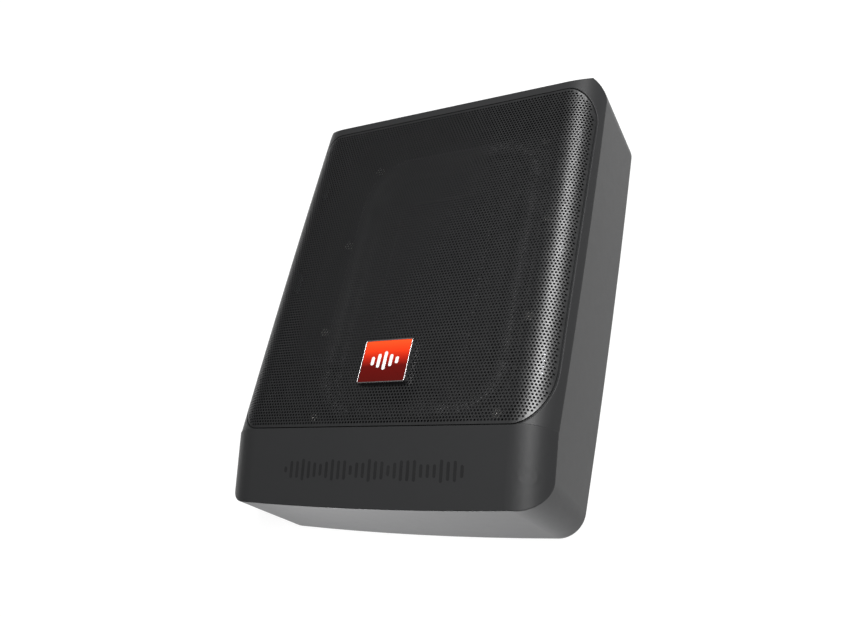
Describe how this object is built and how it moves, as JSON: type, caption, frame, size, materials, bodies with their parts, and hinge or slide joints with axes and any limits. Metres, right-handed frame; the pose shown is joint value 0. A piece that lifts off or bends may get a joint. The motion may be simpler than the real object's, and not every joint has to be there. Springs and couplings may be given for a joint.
{
  "type": "powered car subwoofer",
  "caption": "Flat under-seat powered subwoofer: dark housing with a perforated rolled grille, racetrack woofer, built-in amplifier and rear controls.",
  "frame": {"origin": "middle of the surface that the rubber feet stand on, under the centre of the housing", "axes": "+X across the width, +Y along the length from the plain band towards the rear panel, +Z out of the grille"},
  "size_m": [0.195, 0.252, 0.0657],
  "materials": {
    "housing_paint": "satin dark grey, fine texture",
    "base_metal": "black powder coat",
    "grille_paint": "satin black powder coat",
    "foam": "closed-cell foam",
    "foot_rubber": "matte",
    "black_screws": "black oxide",
    "steel_screws": "zinc plated",
    "insert_brass": "machined",
    "spring_steel": "satin",
    "badge_chrome": "polished",
    "badge_red": "glossy red",
    "basket_steel": "semi-gloss black",
    "surround_rubber": "satin",
    "cone_poly": "satin black",
    "cone_cap": "semi-gloss black",
    "former_kapton": "amber film",
    "coil_copper": "enamelled copper wire",
    "spider_cloth": "resin-dipped cotton",
    "motor_steel": "zinc plated steel",
    "ferrite": "sintered ferrite",
    "terminal_board": "phenolic strip",
    "circuit_board": "green solder mask",
    "standoff_steel": "plated",
    "capacitor_sleeve": "shrink sleeve",
    "toroid_wire": "enamelled copper on ferrite",
    "chip_epoxy": "moulded epoxy",
    "heat_sink": "extruded",
    "panel_black": "fine texture",
    "socket_white": "natural nylon",
    "contact_tin": "tin plated",
    "contact_gold": "gold flashed",
    "socket_black": "moulded",
    "rca_nickel": "nickel plated",
    "rca_insulator": "white core",
    "fuse_plastic": "translucent blue",
    "pot_case": "dark blue case",
    "light_lens": "clear light pipe",
    "shaft_metal": "turned",
    "knob_black": "soft ribbed",
    "switch_black": "moulded"
  },
  "bodies": {
    "enclosure": {"housing_shell": "housing_paint", "base_plate": "base_metal", "base_gasket": "foam", "rubber_feet": "foot_rubber", "base_screws": "black_screws", "mounting_inserts": "insert_brass", "grille": "grille_paint", "grille_clips": "spring_steel", "badge_frame": "badge_chrome", "badge_plate": "badge_red", "woofer_gasket": "foam", "woofer_basket": "basket_steel", "woofer_screws": "black_screws", "surround": "surround_rubber", "spider": "spider_cloth", "motor_back_plate": "motor_steel", "motor_magnet": "ferrite", "motor_top_plate": "motor_steel", "woofer_terminal": "terminal_board", "amplifier_board": "circuit_board", "board_standoffs": "standoff_steel", "board_screws": "steel_screws", "filter_capacitors": "capacitor_sleeve", "toroid_inductors": "toroid_wire", "amplifier_chips": "chip_epoxy", "heat_sink_bar": "heat_sink", "power_transistors": "chip_epoxy", "rear_panel": "panel_black", "panel_screws": "black_screws", "power_socket": "socket_white", "power_pins": "contact_tin", "remote_socket": "socket_black", "remote_contacts": "contact_gold", "rca_barrels": "rca_nickel", "rca_insulators": "rca_insulator", "fuse_holder": "socket_black", "control_pots": "pot_case", "status_light": "light_lens", "phase_switch_body": "socket_black", "power_mode_switch_body": "socket_black"},
    "cone": {"diaphragm": "cone_poly", "diaphragm_plate": "cone_cap", "coil_former": "former_kapton", "voice_coil": "coil_copper"},
    "level_control": {"level_shaft": "shaft_metal", "level_knob": "knob_black"},
    "crossover_control": {"crossover_shaft": "shaft_metal", "crossover_knob": "knob_black"},
    "boost_control": {"boost_shaft": "shaft_metal", "boost_knob": "knob_black"},
    "phase_slider": {"phase_switch_tab": "switch_black"},
    "power_mode_slider": {"power_mode_switch_tab": "switch_black"},
    "fuse": {"fuse_body": "fuse_plastic", "fuse_blades": "contact_tin"}
  },
  "joints": [
    {"name": "diaphragm_travel", "type": "slide", "parent": "enclosure", "child": "cone", "axis": [0, 0, 1], "range_m": [-0.004, 0.004], "stiffness_N_per_m": 3500, "deforming": ["surround", "spider"]},
    {"name": "level_turn", "type": "hinge", "parent": "enclosure", "child": "level_control", "pos_m": [0.0285, 0.113, 0.0205], "axis": [0, 1, 0], "range_deg": [-140, 140]},
    {"name": "crossover_turn", "type": "hinge", "parent": "enclosure", "child": "crossover_control", "pos_m": [0.041, 0.113, 0.0205], "axis": [0, 1, 0], "range_deg": [-140, 140]},
    {"name": "boost_turn", "type": "hinge", "parent": "enclosure", "child": "boost_control", "pos_m": [0.0535, 0.113, 0.0205], "axis": [0, 1, 0], "range_deg": [-140, 140]},
    {"name": "phase_slide", "type": "slide", "parent": "enclosure", "child": "phase_slider", "axis": [1, 0, 0], "range_m": [0, 0.003]},
    {"name": "power_mode_slide", "type": "slide", "parent": "enclosure", "child": "power_mode_slider", "axis": [1, 0, 0], "range_m": [0, 0.003]},
    {"name": "fuse_pull", "type": "slide", "parent": "enclosure", "child": "fuse", "axis": [0, 1, 0], "range_m": [0, 0.014]}
  ]
}
